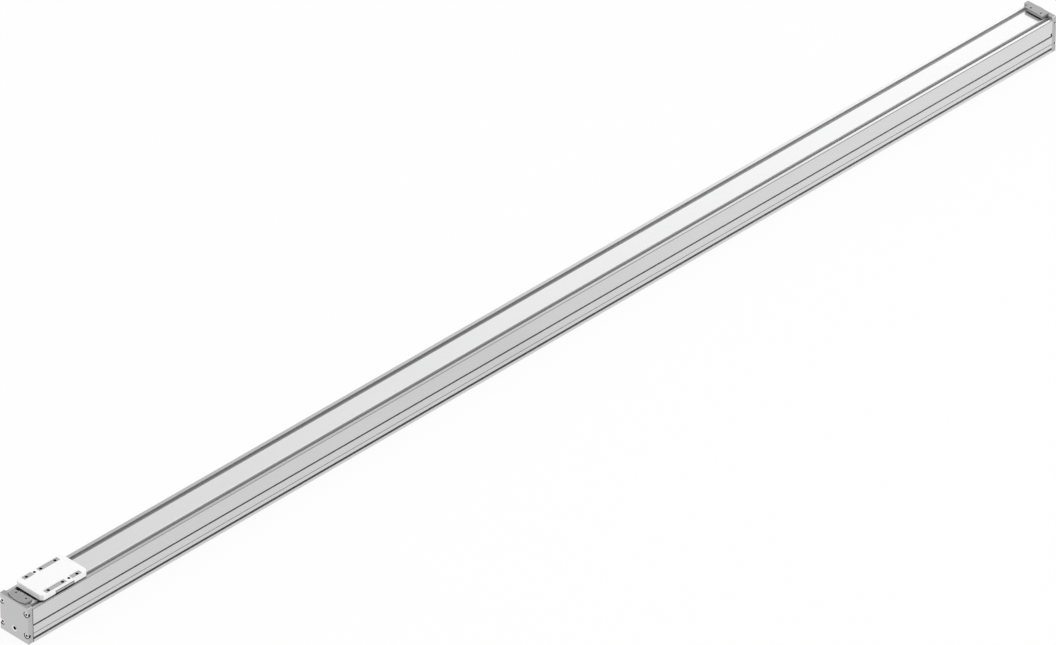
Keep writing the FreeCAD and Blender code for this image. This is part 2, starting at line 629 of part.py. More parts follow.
def slide_top_tools():
    """Pads, threaded holes and centring holes in the top of the slide."""
    tools = []
    for x0, x1, row in pad_spans():
        y = row * SLIDE_ROW_Y
        tools.append(box(SLIDE_X + x0, SLIDE_X + x1, y - PAD_WIDTH / 2, y + PAD_WIDTH / 2,
                         SLIDE_TOP - PAD_DEPTH, SLIDE_TOP + 1))
    for row in (-1, 1):
        for step in (-1, 0, 1):
            top = (SLIDE_X + step * SLIDE_HOLE_PITCH, row * SLIDE_ROW_Y, SLIDE_TOP)
            tools.append(rod(SLIDE_THREAD_DIAMETER, top, (0, 0, -1), SLIDE_THREAD_DEPTH))
        pin_top = (SLIDE_X - row * PIN_OFFSET, row * SLIDE_ROW_Y, SLIDE_TOP)
        tools.append(rod(PIN_DIAMETER, pin_top, (0, 0, -1), PIN_DEPTH))
    return tools


def slide():
    """Slide plate over the strip, with a leg down each groove."""
    half, half_y = SLIDE_LENGTH / 2, SLIDE_HALF
    plate = box(SLIDE_X - half, SLIDE_X + half, -half_y, half_y, SLIDE_UNDER_Z, SLIDE_TOP)
    upright = [e for e in plate.Edges if abs(e.Length - (SLIDE_TOP - SLIDE_UNDER_Z)) < 0.01]
    plate = plate.makeChamfer(SLIDE_CORNER, upright)
    rim = [e for e in plate.Edges if e.BoundBox.ZMin > SLIDE_TOP - 0.1]
    plate = plate.makeChamfer(SLIDE_EDGE, rim)
    legs = []
    for side in (-1, 1):
        y0, y1 = sorted((side * LEG_INNER, side * LEG_OUTER))
        legs.append(box(SLIDE_X - LEG_LENGTH / 2, SLIDE_X + LEG_LENGTH / 2, y0, y1,
                        BLOCK_TOP_Z, SLIDE_UNDER_Z + 1))
    notch = box(SLIDE_X - NOTCH_LENGTH / 2, SLIDE_X + NOTCH_LENGTH / 2, -half_y - 1, NOTCH_DEPTH - half_y,
                SLIDE_UNDER_Z - 1, SLIDE_UNDER_Z + NOTCH_HEIGHT)
    tools = slide_top_tools() + [notch, turned_about_slide(notch)]
    for side in (-1, 1):
        tools += side_screw_tools(side, HOLE_GAP / 2)
    return cut_all(fuse_all([plate] + legs), tools)


def turned_about_slide(shape):
    """Copy of a shape turned half a turn about the slide's own vertical axis."""
    copy = shape.copy()
    copy.rotate(V(SLIDE_X, 0, 0), V(0, 0, 1), 180)
    return copy


def wiper(end):
    """Dark wiper under one end of the slide, with a prong in each groove."""
    outer = SLIDE_LENGTH / 2 - WIPER_INSET
    x0, x1 = sorted((SLIDE_X + end * LEG_LENGTH / 2, SLIDE_X + end * outer))
    pieces = [box(x0, x1, -WIPER_HALF, WIPER_HALF, WIPER_UNDER_Z, SLIDE_UNDER_Z)]
    for side in (-1, 1):
        y0, y1 = sorted((side * WIPER_PRONG_INNER, side * WIPER_HALF))
        pieces.append(box(x0, x1, y0, y1, WIPER_PRONG_Z, SLIDE_UNDER_Z))
    return fuse_all(pieces)


def all_nodes():
    """Every piece of the axis by its node name."""
    nodes = {
        "profile": profile(),
        "guide_rail": guide_rail(),
        "rail_screws": rail_screws(),
        "cover_strip": cover_strip(),
        "bearing_block": bearing_block(),
        "return_plate_near": return_plate(NEAR),
        "return_plate_far": return_plate(FAR),
        "return_plate_screws": return_screws(),
        "end_seal_near": end_seal(NEAR),
        "end_seal_far": end_seal(FAR),
        "block_screws": block_screws(),
        "saddle": saddle(),
        "saddle_screws_left": saddle_screws(1),
        "saddle_screws_right": saddle_screws(-1),
        "slide": slide(),
        "wiper_near": wiper(NEAR),
        "wiper_far": wiper(FAR),
    }
    near_pieces = {
        "end_cap": near_cap(),
        "cap_gasket": near_gasket(),
        "cap_screws": near_cap_screws(),
        "strip_clamp": near_strip_clamp(),
        "clamp_screws": near_clamp_screws(),
        "end_buffers": near_buffers(),
    }
    for name, shape in near_pieces.items():
        nodes[name + "_near"] = shape
        nodes[name + "_far"] = turned_round(shape)
    return nodes


def main():
    """Write every node and print its volume."""
    os.makedirs("parts", exist_ok=True)
    for name, shape in all_nodes().items():
        if not shape.isValid():
            raise ValueError("invalid shape: " + name)
        shape.exportStep("parts/" + name + ".step")
        print(name, len(shape.Solids), "solids,", round(shape.Volume / 1000, 2), "cm3")


main()
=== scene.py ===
"""Looks of the passive guide axis: finishes, cut threads, notch covers, studio and camera.

Lengths are in metres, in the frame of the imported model: X along the axis towards the far end, Z up.
"""
import json
import logging
import math
from dataclasses import dataclass
from enum import Enum
from functools import reduce
from operator import or_
from typing import Mapping, Optional, Sequence, Union

import bmesh
import bpy
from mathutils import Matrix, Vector


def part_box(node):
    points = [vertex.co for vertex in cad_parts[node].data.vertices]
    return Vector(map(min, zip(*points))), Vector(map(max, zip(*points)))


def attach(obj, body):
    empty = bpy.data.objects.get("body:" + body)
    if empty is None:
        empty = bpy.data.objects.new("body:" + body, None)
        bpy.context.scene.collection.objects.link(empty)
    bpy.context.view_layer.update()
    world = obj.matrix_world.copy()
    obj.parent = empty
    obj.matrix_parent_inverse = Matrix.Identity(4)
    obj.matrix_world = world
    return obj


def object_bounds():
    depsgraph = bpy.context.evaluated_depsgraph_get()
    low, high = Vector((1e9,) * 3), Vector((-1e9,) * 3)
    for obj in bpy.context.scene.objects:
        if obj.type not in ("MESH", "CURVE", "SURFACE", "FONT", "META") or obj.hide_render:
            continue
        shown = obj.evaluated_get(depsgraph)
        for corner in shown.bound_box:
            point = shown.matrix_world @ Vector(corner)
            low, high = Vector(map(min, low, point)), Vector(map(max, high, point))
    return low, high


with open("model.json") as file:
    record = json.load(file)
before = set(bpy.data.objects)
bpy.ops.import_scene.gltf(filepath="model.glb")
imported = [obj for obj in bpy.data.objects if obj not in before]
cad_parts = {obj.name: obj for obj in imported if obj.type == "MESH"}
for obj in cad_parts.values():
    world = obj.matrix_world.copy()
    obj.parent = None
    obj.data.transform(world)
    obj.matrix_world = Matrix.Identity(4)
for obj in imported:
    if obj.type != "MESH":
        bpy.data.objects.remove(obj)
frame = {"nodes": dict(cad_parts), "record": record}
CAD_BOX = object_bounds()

LOG = logging.getLogger("guide_axis")
MM = 0.001
SOFT_EDGE = 0.05 * MM

Colour = tuple[float, float, float]
Point = tuple[float, float, float]
Span = tuple[float, float]
Value = Union["Socket", float]
Feed = Union["Socket", float, Sequence[float]]
Key = Union[str, int]


def grey(level: float, blue: float = 0.0) -> Colour:
    """A grey.

    Args:
        level: linear level of red and green.
        blue: what blue has more.

    Returns:
        The colour.
    """
    return (level, level, level + blue)


def shade(colour: Colour, factor: float) -> Colour:
    """Lighten or darken a colour.

    Args:
        colour: linear colour.
        factor: what each part is multiplied by.

    Returns:
        The colour, at most white.
    """
    return tuple(min(1.0, part * factor) for part in colour)


class Body(Enum):
    """The two bodies of the axis, by their names in the record."""

    AXIS = "axis"
    CARRIAGE = "carriage"


class End(Enum):
    """The two ends of the axis, as node names end, with the side of the middle they are on."""

    NEAR = ("near", -1)
    FAR = ("far", 1)

    @property
    def word(self) -> str:
        """The word that a node name ends with."""
        return self.value[0]

    @property
    def side(self) -> int:
        """The sign of X at this end."""
        return self.value[1]


class Socket:
    """A shader value. Python operators on it add Math nodes to its graph."""

    def __init__(self, graph: "Graph", link: bpy.types.NodeSocket) -> None:
        """Keep the graph and the node output that the value comes from."""
        self.graph = graph
        self.link = link

    def __add__(self, other: Value) -> "Socket":
        """Sum."""
        return self.graph.math("ADD", self, other)

    def __radd__(self, other: Value) -> "Socket":
        """Sum with a number on the left."""
        return self.graph.math("ADD", other, self)

    def __sub__(self, other: Value) -> "Socket":
        """Difference."""
        return self.graph.math("SUBTRACT", self, other)

    def __rsub__(self, other: Value) -> "Socket":
        """Difference from a number on the left."""
        return self.graph.math("SUBTRACT", other, self)

    def __mul__(self, other: Value) -> "Socket":
        """Product."""
        return self.graph.math("MULTIPLY", self, other)

    def __rmul__(self, other: Value) -> "Socket":
        """Product with a number on the left."""
        return self.graph.math("MULTIPLY", other, self)

    def __truediv__(self, other: Value) -> "Socket":
        """Quotient."""
        return self.graph.math("DIVIDE", self, other)

    def __rtruediv__(self, other: Value) -> "Socket":
        """Quotient of a number on the left."""
        return self.graph.math("DIVIDE", other, self)

    def __lt__(self, other: Value) -> "Socket":
        """1 where this value is the smaller one, else 0."""
        return self.graph.math("LESS_THAN", self, other)

    def __gt__(self, other: Value) -> "Socket":
        """1 where this value is the larger one, else 0."""
        return self.graph.math("GREATER_THAN", self, other)

    def __and__(self, other: Value) -> "Socket":
        """The smaller of two masks: where both hold."""
        return self.graph.math("MINIMUM", self, other)

    def __rand__(self, other: Value) -> "Socket":
        """The smaller of two masks, with a number on the left."""
        return self.graph.math("MINIMUM", other, self)

    def __or__(self, other: Value) -> "Socket":
        """The larger of two masks: where either holds."""
        return self.graph.math("MAXIMUM", self, other)

    def __ror__(self, other: Value) -> "Socket":
        """The larger of two masks, with a number on the left."""
        return self.graph.math("MAXIMUM", other, self)

    def __abs__(self) -> "Socket":
        """Size without its sign."""
        return self.graph.math("ABSOLUTE", self)

    def sine(self) -> "Socket":
        """Sine of the value in radians."""
        return self.graph.math("SINE", self)

    def root(self) -> "Socket":
        """Square root."""
        return self.graph.math("SQRT", self)


def blend(first: Socket, second: Socket, share: float) -> Socket:
    """Mean of two values.

    Args:
        first: one value.
        second: the other value.
        share: weight of the second, from 0 to 1.

    Returns:
        The weighted mean.
    """
    return first * (1 - share) + second * share


@dataclass(frozen=True)
class Grain:
    """A noise: waves per metre along each axis, octaves, and a shift that sets it apart."""

    scale: Point
    detail: float = 2.0
    seed: Point = (0, 0, 0)
    roughness: float = 0.55

    @classmethod
    def even(cls, scale: float, detail: float = 2.0, seed: Point = (0, 0, 0)) -> "Grain":
        """A noise of one scale along all axes."""
        return cls((scale, scale, scale), detail, seed)


class Graph:
    """A node tree that finishes write their shaders into."""

    def __init__(self, tree: bpy.types.NodeTree) -> None:
        """Take over a node tree and clear it.

        Args:
            tree: node tree of a material or a world.
        """
        self.tree = tree
        tree.nodes.clear()

    def add(
        self,
        kind: str,
        settings: Optional[Mapping[str, object]] = None,
        inputs: Optional[Mapping[Key, Feed]] = None,
        output: Key = 0,
    ) -> Optional[Socket]:
        """Add one node.

        Args:
            kind: node type.
            settings: the node's own settings, set before its sockets; "stops" are a ramp's.
            inputs: values or links by socket name or number.
            output: the output to give back.

        Returns:
            That output, or None for a node without outputs.
        """
        node = self.tree.nodes.new(kind)
        for name, value in (settings or {}).items():
            if name == "stops":
                self._set_stops(node, value)
            else:
                setattr(node, name, value)
        for key, value in (inputs or {}).items():
            self._feed(node.inputs[key], value)
        return Socket(self, node.outputs[output]) if node.outputs else None

    @staticmethod
    def _set_stops(node: bpy.types.Node, stops: Sequence[tuple[float, Colour]]) -> None:
        """Give a colour ramp its stops.

        Args:
            node: the ramp.
            stops: (place from 0 to 1, colour), in order.
        """
        elements = node.color_ramp.elements
        while len(elements) < len(stops):
            elements.new(1.0)
        for element, (place, colour) in zip(elements, stops):
            element.position = place
            element.color = (*colour, 1.0)

    def _feed(self, socket: bpy.types.NodeSocket, value: Feed) -> None:
        """Set or link one input.

        Args:
            socket: the input.
            value: a Socket to link, or the number or numbers to set.
        """
        if isinstance(value, Socket):
            self.tree.links.new(value.link, socket)
        elif socket.type == "RGBA":
            socket.default_value = (*value[:3], 1.0)
        else:
            socket.default_value = value

    def math(self, operation: str, *values: Value) -> Socket:
        """Add one Math node.

        Args:
            operation: the node's operation.
            values: its inputs in order.

        Returns:
            The result.
        """
        return self.add("ShaderNodeMath", {"operation": operation}, dict(enumerate(values)))

    def mix(self, factor: Value, first: Feed, second: Feed) -> Socket:
        """Blend two colours.

        Args:
            factor: 0 for the first, 1 for the second.
            first: colour at 0.
            second: colour at 1.

        Returns:
            The blended colour.
        """
        settings = {"data_type": "RGBA", "blend_type": "MIX", "clamp_factor": True}
        return self.add("ShaderNodeMix", settings, {0: factor, 6: first, 7: second}, output=2)

    def place(self) -> Socket:
        """Place on the piece at rest, which for every piece is its place in the model's frame."""
        return self.add("ShaderNodeTexCoord", output="Object")

    def facing(self) -> tuple[Socket, Socket, Socket]:
        """How squarely the surface faces along X, Y and Z.

        Returns:
            Three values from 0 to 1, whichever way it looks.
        """
        normal = self.add("ShaderNodeTexCoord", output="Normal")
        x, y, z = self.axes(normal)
        return abs(x), abs(y), abs(z)

    def axes(self, place: Socket) -> tuple[Socket, Socket, Socket]:
        """Split a place or a direction into its parts.

        Args:
            place: vector to split.

        Returns:
            x, y and z.
        """
        split = self.add("ShaderNodeSeparateXYZ", None, {0: place})
        outputs = split.link.node.outputs
        return Socket(self, outputs[0]), Socket(self, outputs[1]), Socket(self, outputs[2])

    def noise(self, place: Socket, grain: Grain) -> Socket:
        """Noise stretched along the axes.

        Args:
            place: where it is read.
            grain: its scale, detail and shift.

        Returns:
            A value around 0.5.
        """
        settings = {"operation": "MULTIPLY_ADD"}
        stretch = {0: place, 1: grain.scale, 2: grain.seed}
        where = self.add("ShaderNodeVectorMath", settings, stretch)
        inputs = {"Vector": where, "Scale": 1.0}
        inputs.update({"Detail": grain.detail, "Roughness": grain.roughness})
        return self.add("ShaderNodeTexNoise", {"noise_dimensions": "3D"}, inputs)

    def varied(
        self, factor: Socket, tone: Colour, loss: float, gain: Optional[float] = None
    ) -> Socket:
        """A tone that varies a little.

        Args:
            factor: value around 0.5 that it follows.
            tone: its middle.
            loss: share that it loses where the factor is 0.
            gain: share that it gains where the factor is 1, as much as the loss if left out.

        Returns:
            The colour.
        """
        gain = loss if gain is None else gain
        return self.mix(factor, shade(tone, 1 - loss), shade(tone, 1 + gain))

    def ramp(self, value: Socket, low: float, high: float) -> Socket:
        """Smooth step.

        Args:
            value: what is tested.
            low: where the result is 0.
            high: where the result is 1; it may be the smaller one.

        Returns:
            A mask from 0 to 1.
        """
        settings = {"interpolation_type": "SMOOTHSTEP", "clamp": True}
        inputs = {"Value": value, "From Min": low, "From Max": high, "To Min": 0.0, "To Max": 1.0}
        return self.add("ShaderNodeMapRange", settings, inputs)

    def bores(
        self, first: Socket, second: Socket, places: Sequence[Span], radius: float
    ) -> Socket:
        """Mask of what lies inside any of some round bores of one size.

        Args:
            first: coordinate across the bores.
            second: the other coordinate across them.
            places: their centres in those coordinates.
            radius: their radius.

        Returns:
            1 inside, 0 outside, with a soft edge.
        """
        masks = []
        for at in places:
            across, along = first - at[0], second - at[1]
            distance = (across * across + along * along).root()
            masks.append(self.ramp(distance, radius + SOFT_EDGE, radius - SOFT_EDGE))
        return reduce(or_, masks)

    def bump(self, height: Socket, distance: float) -> Socket:
        """Normal from a height.

        Args:
            height: height from 0 to 1.
            distance: metres that a height of 1 stands for.

        Returns:
            The normal.
        """
        inputs = {"Height": height, "Distance": distance, "Strength": 1.0}
        return self.add("ShaderNodeBump", None, inputs)

    def principled(self, inputs: Mapping[Key, Feed]) -> Socket:
        """Add the surface shader.

        Args:
            inputs: its values and links by socket name.

        Returns:
            The shader.
        """
        return self.add("ShaderNodeBsdfPrincipled", None, inputs)


@dataclass(frozen=True)
class Finish:
    """A finish of one material slot of the record."""

    slot: str
    tone: Colour
    roughness: float

    def shader(self, graph: Graph) -> Socket:
        """Write the finish into a graph.

        Args:
            graph: empty graph.

        Returns:
            The surface shader.
        """
        raise NotImplementedError

    def material(self) -> bpy.types.Material:
        """Make the material of this finish.

        Returns:
            The material, named for its slot.
        """
        material = bpy.data.materials.new(self.slot)
        material.use_nodes = True
        material.diffuse_color = (*self.tone, 1.0)
        graph = Graph(material.node_tree)
        graph.add("ShaderNodeOutputMaterial", None, {"Surface": self.shader(graph)})
        return material


@dataclass(frozen=True, kw_only=True)
class DrawnAlloy(Finish):
    """Clear anodised extrusion with fine die lines along X.

    It is duller in its grooves and darker there with painted shade, and painted shade darkens its
    fine line and its broken top edges. Its tones grow lighter towards the far end, and its tops are
    toned apart from its sides, as painted light and shade.
    """

    far_lit_tone: Colour
    lit_top_tone: Colour
    far_lit_top_tone: Colour
    top_roughness: float
    groove_shade_tone: Colour
    far_groove_shade_tone: Colour
    line_shade_tone: Colour
    edge_lighting_tone: Colour
    half_width: float
    top: float
    chamfer: float
    lip_inner: float
    lip_chamfer: float
    line_z: float
    line_reach: float
    line_depth: float = 1.0 * MM
    edge_drop: float = 1.4 * MM
    skin: float = 0.05 * MM
    light_fade: Span = (-0.3, 1.05)
    spread: float = 0.05
    die_lines: Grain = Grain((3, 1100, 1100), 3)
    grain: Grain = Grain((1500, 3200, 3200), seed=(3, 1, 7))
    cloud: Grain = Grain((5, 24, 24), seed=(9, 4, 2))
    cloud_share: float = 0.4
    grain_share: float = 0.25
    groove_lines: float = 0.3
    groove_oxide: float = 0.6
    groove_roughness: float = 0.12
    line_roughness: float = 0.08
    grain_roughness: float = 0.05
    relief: float = 0.012 * MM

    def masks(self, across: Socket, z: Socket) -> tuple[Socket, Socket, Socket, Socket]:
        """Where the finish changes.

        Args:
            across: distance from the middle plane.
            z: height.

        Returns:
            Masks of the channel and the side slots, of the fine line in each side, of the broken
            edges along the top, and of the tops of the lips with their inner chamfers.
        """
        covered = across < self.half_width - 2 * self.skin
        inside = covered & (z < self.top - self.lip_chamfer - self.skin)
        line = abs(z - self.line_z) < self.line_reach
        below = across < self.half_width - self.skin
        engraved = line & below & (across > self.half_width - self.line_depth)
        edge = (across > self.half_width - self.chamfer / 2) & (z > self.top - self.edge_drop)
        sloped = (across < self.lip_inner + self.lip_chamfer) & (z > self.top - self.lip_chamfer)
        return inside, engraved, edge, sloped | (z > self.top - self.skin)

    def shader(self, graph: Graph) -> Socket:
        """Write the finish into a graph.

        Args:
            graph: empty graph.

        Returns:
            The surface shader.
        """
        place = graph.place()
        x, y, z = graph.axes(place)
        # Painted light: every tone grows lighter towards the far end.
        far = graph.ramp(x, *self.light_fade)
        lines = graph.noise(place, self.die_lines)
        grain = graph.noise(place, self.grain)
        vary = blend(lines, graph.noise(place, self.cloud), self.cloud_share)
        # Painted light and shade: the sides and the tops get tones of their own, near and far.
        near_side, far_side, near_top, far_top = (
            graph.varied(vary, tone, self.spread)
            for tone in (self.tone, self.far_lit_tone, self.lit_top_tone, self.far_lit_top_tone))
        inside, engraved, edge, on_top = self.masks(abs(y), z)
        side = graph.mix(far, near_side, far_side)
        top = graph.mix(far, near_top, far_top)
        # Painted shade: the channel and the side slots are darker, and darker still along the die
        # lines.
        groove = graph.mix(far, self.groove_shade_tone, self.far_groove_shade_tone)
        inner = graph.mix(lines * self.groove_lines, groove, grey(0.0))
        # Painted shade: the broken edges along the top are dark.
        outer = graph.mix(edge, graph.mix(on_top, side, top), self.edge_lighting_tone)
        colour = graph.mix(inside, outer, inner)
        plain = self.roughness + self.groove_roughness * inside
        plain = plain + (self.top_roughness - self.roughness) * on_top
        # Painted shade: the fine line in each side is dark.
        return graph.principled({
            "Base Color": graph.mix(engraved, colour, self.line_shade_tone),
            "Metallic": 1.0 - self.groove_oxide * inside,
            "Roughness": plain + self.line_roughness * lines + self.grain_roughness * grain,
            "Normal": graph.bump(blend(lines, grain, self.grain_share), self.relief),
        })


@dataclass(frozen=True, kw_only=True)
class BlastedAlloy(Finish):
    """Fine blasted alloy. Its sides, end faces, top and the faces set in from the ends get tones of
    their own as painted light and shade.

    Its counterbores and the relief under the clamp are dark with painted shade, the top edges carry
    a painted highlight, and a bright ring is turned round the port.
    """

    lit_front_tone: Colour
    shaded_inner_tone: Colour
    lit_top_tone: Colour
    bore_shade_tone: Colour
    relief_shade_tone: Colour
    edge_lighting_tone: Colour
    ring_tone: Colour
    outer_x: float
    bore_places: tuple[Span, ...]
    bore_radius: float
    bore_depth: float
    ring_z: float
    ring_radius: float
    relief_top: float
    edge_y: float
    edge_z: float
    front_depth: float = 9.0 * MM
    clamp_depth: float = 20.0 * MM
    skin: float = 0.05 * MM
    square: Span = (0.75, 0.95)
    speckle: Grain = Grain.even(3800, 3)
    cloud: Grain = Grain.even(60, seed=(5, 8, 1))
    turning: Grain = Grain((9000, 400, 400), seed=(2, 2, 6))
    cloud_share: float = 0.3
    side_spread: float = 0.08
    front_spread: float = 0.03
    top_spread: float = 0.06
    ring_loss: float = 0.06
    speckle_roughness: float = 0.10
    ring_roughness: float = 0.25
    ring_height: float = 0.3
    relief: float = 0.015 * MM

    def shader(self, graph: Graph) -> Socket:
        """Write the finish into a graph.

        Args:
            graph: empty graph.

        Returns:
            The surface shader.
        """
        place = graph.place()
        x, y, z = graph.axes(place)
        out, across = abs(x), abs(y)
        along, _, upward = graph.facing()
        speckle = graph.noise(place, self.speckle)
        turned = graph.noise(place, self.turning)
        vary = blend(speckle, graph.noise(place, self.cloud), self.cloud_share)
        below = out < self.outer_x - self.skin
        bored = below & (out > self.outer_x - self.bore_depth - self.skin)
        # Painted shade: the counterbores are dark.
        bore = graph.bores(across, z, self.bore_places, self.bore_radius) & bored
        ring = graph.bores(y, z, ((0.0, self.ring_z),), self.ring_radius) & below
        inner = (out < self.outer_x - self.front_depth) & (out > self.outer_x - self.clamp_depth)
        # Painted light and shade: the sides, the end faces, the faces set in from the ends and the
        # top get tones of their own.
        side = graph.varied(vary, self.tone, self.side_spread)
        end_or_pad_tone = graph.varied(vary, self.lit_front_tone, self.front_spread)
        end_or_pad_tone = graph.mix(inner, end_or_pad_tone, self.shaded_inner_tone)
        upper = graph.varied(vary, self.lit_top_tone, self.top_spread)
        plain = graph.mix(graph.ramp(along, *self.square), side, end_or_pad_tone)
        plain = graph.mix(graph.ramp(upward, *self.square), plain, upper)
        # Painted shade: the relief under the clamp is dark.
        plain = graph.mix(inner & (z < self.relief_top), plain, self.relief_shade_tone)
        # Painted highlight: the top edges along the sides are light.
        plain = graph.mix((across > self.edge_y) & (z > self.edge_z), plain, self.edge_lighting_tone)
        bright = graph.varied(turned, self.ring_tone, self.ring_loss, 0.0)
        blasted = self.roughness + self.speckle_roughness * speckle
        height = speckle * (1 - ring) + turned * ring * self.ring_height
        return graph.principled({
            "Base Color": graph.mix(ring, graph.mix(bore, plain, self.bore_shade_tone), bright),
            "Metallic": 1.0,
            "Roughness": blasted * (1 - ring) + self.ring_roughness * ring,
            "Normal": graph.bump(height, self.relief),
        })


@dataclass(frozen=True, kw_only=True)
class SlideAlloy(Finish):
    """Pale blasted slide with milled pads round its threads and reamed centring holes.

    Its top, sides, ends and corner facets get tones of their own as painted light and shade, and its
    centring holes and the gap round its notch covers are dark with painted shade.
    """

    pad_tone: Colour
    hole_shade_tone: Colour
    lit_end_tone: Colour
    shaded_corner_tone: Colour
    lit_side_tone: Colour
    notch_shade_tone: Colour
    notch_half: float
    notch_y: float
    top: float
    pad_depth: float
    row_y: float
    middle_x: float
    pin_offset: float
    pin_radius: float
    notch_drop: float = 2.0 * MM
    pad_half: float = 4.2 * MM
    pad_levels: tuple[float, float, float] = (0.4, 0.8, 1.2)
    square: Span = (0.80, 0.95)
    oblique: Span = (0.50, 0.65)
    speckle: Grain = Grain.even(4200, 3)
    cloud: Grain = Grain.even(45, seed=(1, 6, 3))
    cloud_share: float = 0.4
    top_loss: float = 0.025
    top_gain: float = 0.02
    end_spread: float = 0.04
    side_spread: float = 0.03
    pad_spread: float = 0.08
    sweep_offset: float = 20.0 * MM
    sweep_rate: float = 7000.0
    sweep_height: float = 0.5
    pad_metal: float = 0.85
    plain_metal: float = 0.15
    pad_roughness: float = 0.30
    sweep_roughness: float = 0.08
    speckle_roughness: float = 0.10
    relief: float = 0.012 * MM

    def pad(self, graph: Graph, y: Socket, z: Socket) -> Socket:
        """Mask of the milled pads, which are told by their depth.

        Args:
            graph: graph to add to.
            y: place across the axis.
            z: height.

        Returns:
            1 on them, 0 elsewhere.
        """
        start, full, floor = (self.top - share * self.pad_depth for share in self.pad_levels)
        return graph.ramp(z, start, full) & (z > floor) & (abs(y) < self.row_y + self.pad_half)

    def sweep(self, x: Socket, y: Socket) -> Socket:
        """The arcs that the cutter left.

        Args:
            x: place along the axis.
            y: place across it.

        Returns:
            A wave from 0 to 1.
        """
        beside = y + self.sweep_offset
        return ((x * x + beside * beside).root() * self.sweep_rate).sine() * 0.5 + 0.5

    def shader(self, graph: Graph) -> Socket:
        """Write the finish into a graph.

        Args:
            graph: empty graph.

        Returns:
            The surface shader.
        """
        place = graph.place()
        x, y, z = graph.axes(place)
        along, across, _ = graph.facing()
        speckle = graph.noise(place, self.speckle)
        vary = blend(speckle, graph.noise(place, self.cloud), self.cloud_share)
        # Painted shade: the centring holes are dark.
        left_pin = (self.middle_x - self.pin_offset, self.row_y)
        right_pin = (self.middle_x + self.pin_offset, -self.row_y)
        pins = graph.bores(x, y, (left_pin, right_pin), self.pin_radius)
        pad = self.pad(graph, y, z)
        sweep = self.sweep(x, y)
        # Painted shade: the gap round the notch covers is dark.
        notch = (abs(x - self.middle_x) < self.notch_half) & (abs(y) < self.notch_y)
        notch = notch & (z < self.top - self.notch_drop)
        # Painted light and shade: the top, the sides, the ends and the corner facets get tones of
        # their own.
        upper = graph.varied(vary, self.tone, self.top_loss, self.top_gain)
        side = graph.varied(vary, self.lit_side_tone, self.side_spread)
        end = graph.varied(vary, self.lit_end_tone, self.end_spread)
        plain = graph.mix(graph.ramp(across, *self.square), upper, side)
        plain = graph.mix(graph.ramp(along, *self.oblique), plain, self.shaded_corner_tone)
        plain = graph.mix(graph.ramp(along, *self.square), plain, end)
        plain = graph.mix(notch, plain, self.notch_shade_tone)
        end_or_pad_tone = graph.varied(sweep, self.pad_tone, self.pad_spread)
        metal = pad & (1 - pins)
        blasted = self.roughness + self.speckle_roughness * speckle
        swept = self.pad_roughness + self.sweep_roughness * sweep
        height = speckle * (1 - metal) + sweep * metal * self.sweep_height
        return graph.principled({
            "Base Color": graph.mix(pins, graph.mix(pad, plain, end_or_pad_tone), self.hole_shade_tone),
            "Metallic": metal * self.pad_metal + self.plain_metal,
            "Roughness": blasted * (1 - metal) + swept * metal,
            "Normal": graph.bump(height, self.relief),
        })


@dataclass(frozen=True, kw_only=True)
class RolledSteel(Finish):
    """Bright rolled strip or ground steel, with hairlines along X."""

    hairline: float
    hair: Grain = Grain((6, 2400, 2400), 4)
    cloud: Grain = Grain((3, 40, 40), seed=(7, 7, 1))
    cloud_share: float = 0.5
    hair_roughness: float = 0.10
    cloud_roughness: float = 0.04
    relief: float = 0.004 * MM

    def rolled(self, graph: Graph, place: Socket) -> tuple[Socket, Socket, Socket]:
        """The marks of the rolls.

        Args:
            graph: graph to add to.
            place: place on the piece.

        Returns:
            What the tone follows, the roughness and the normal.
        """
        hair = graph.noise(place, self.hair)
        cloud = graph.noise(place, self.cloud)
        roughness = self.roughness + self.hair_roughness * hair + self.cloud_roughness * cloud
        return blend(hair, cloud, self.cloud_share), roughness, graph.bump(hair, self.relief)

    def shader(self, graph: Graph) -> Socket:
        """Write the finish into a graph.

        Args:
            graph: empty graph.

        Returns:
            The surface shader.
        """
        vary, roughness, normal = self.rolled(graph, graph.place())
        return graph.principled({
            "Base Color": graph.varied(vary, self.tone, self.hairline),
            "Metallic": 1.0,
            "Roughness": roughness,
            "Normal": normal,
        })


@dataclass(frozen=True, kw_only=True)
class StripSteel(RolledSteel):
    """Bright rolled strip whose folded edges are matt."""

    fold_tone: Colour
    top: float
    fold_depth: float
    flat_depth: float = 0.02 * MM
    fold_roughness: float = 0.40

    def shader(self, graph: Graph) -> Socket:
        """Write the finish into a graph.

        Args:
            graph: empty graph.

        Returns:
            The surface shader.
        """
        place = graph.place()
        vary, roughness, normal = self.rolled(graph, place)
        _, _, z = graph.axes(place)
        fold = graph.ramp(z, self.top - self.flat_depth, self.top - self.fold_depth)
        flat = graph.varied(vary, self.tone, self.hairline)
        edge = graph.varied(vary, self.fold_tone, self.hairline)
        return graph.principled({
            "Base Color": graph.mix(fold, flat, edge),
            "Metallic": 1.0 - fold,
            "Roughness": roughness + self.fold_roughness * fold,
            "Normal": normal,
        })


